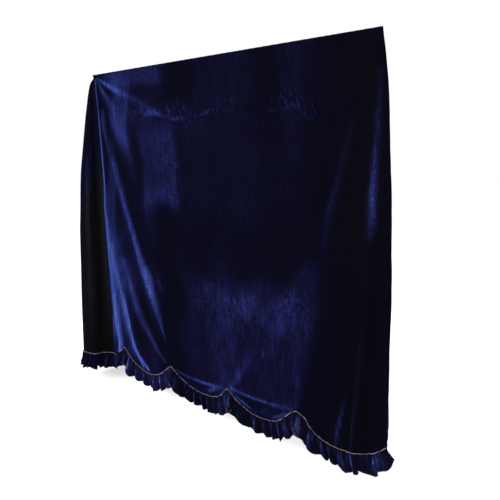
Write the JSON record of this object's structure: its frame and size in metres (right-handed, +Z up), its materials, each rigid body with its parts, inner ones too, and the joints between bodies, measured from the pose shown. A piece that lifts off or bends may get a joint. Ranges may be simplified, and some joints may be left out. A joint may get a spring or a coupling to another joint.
{
  "type": "piano cover",
  "caption": "Hollow fitted velvet cover for an upright piano: flat front with a scalloped hem, fluted sides, open back, corded seam and gathered ruffle.",
  "frame": {"origin": "middle of the underside of the cover's top, where it rests on the piano's lid", "axes": "+X to the right as seen from the front, -Y out of the front, +Z up"},
  "size_m": [1.7983, 0.3771, 1.6107],
  "materials": {
    "velvet": "dark navy cotton velvet with a short upright pile and a cold blue sheen",
    "ruffle_velvet": "dark navy velvet, gathered, its lower edge overlocked in copper thread",
    "copper_cord": "thin copper-brown twisted cord sewn into the hem seam"
  },
  "bodies": {
    "root": {"front_panel": "velvet", "top_panel": "velvet", "side_panel_left": "velvet", "side_panel_right": "velvet", "ruffle_front_1": "ruffle_velvet", "ruffle_front_2": "ruffle_velvet", "ruffle_front_3": "ruffle_velvet", "ruffle_front_4": "ruffle_velvet", "ruffle_front_5": "ruffle_velvet", "ruffle_left": "ruffle_velvet", "ruffle_right": "ruffle_velvet", "piping_front": "copper_cord", "piping_left": "copper_cord", "piping_right": "copper_cord"}
  },
  "joints": []
}
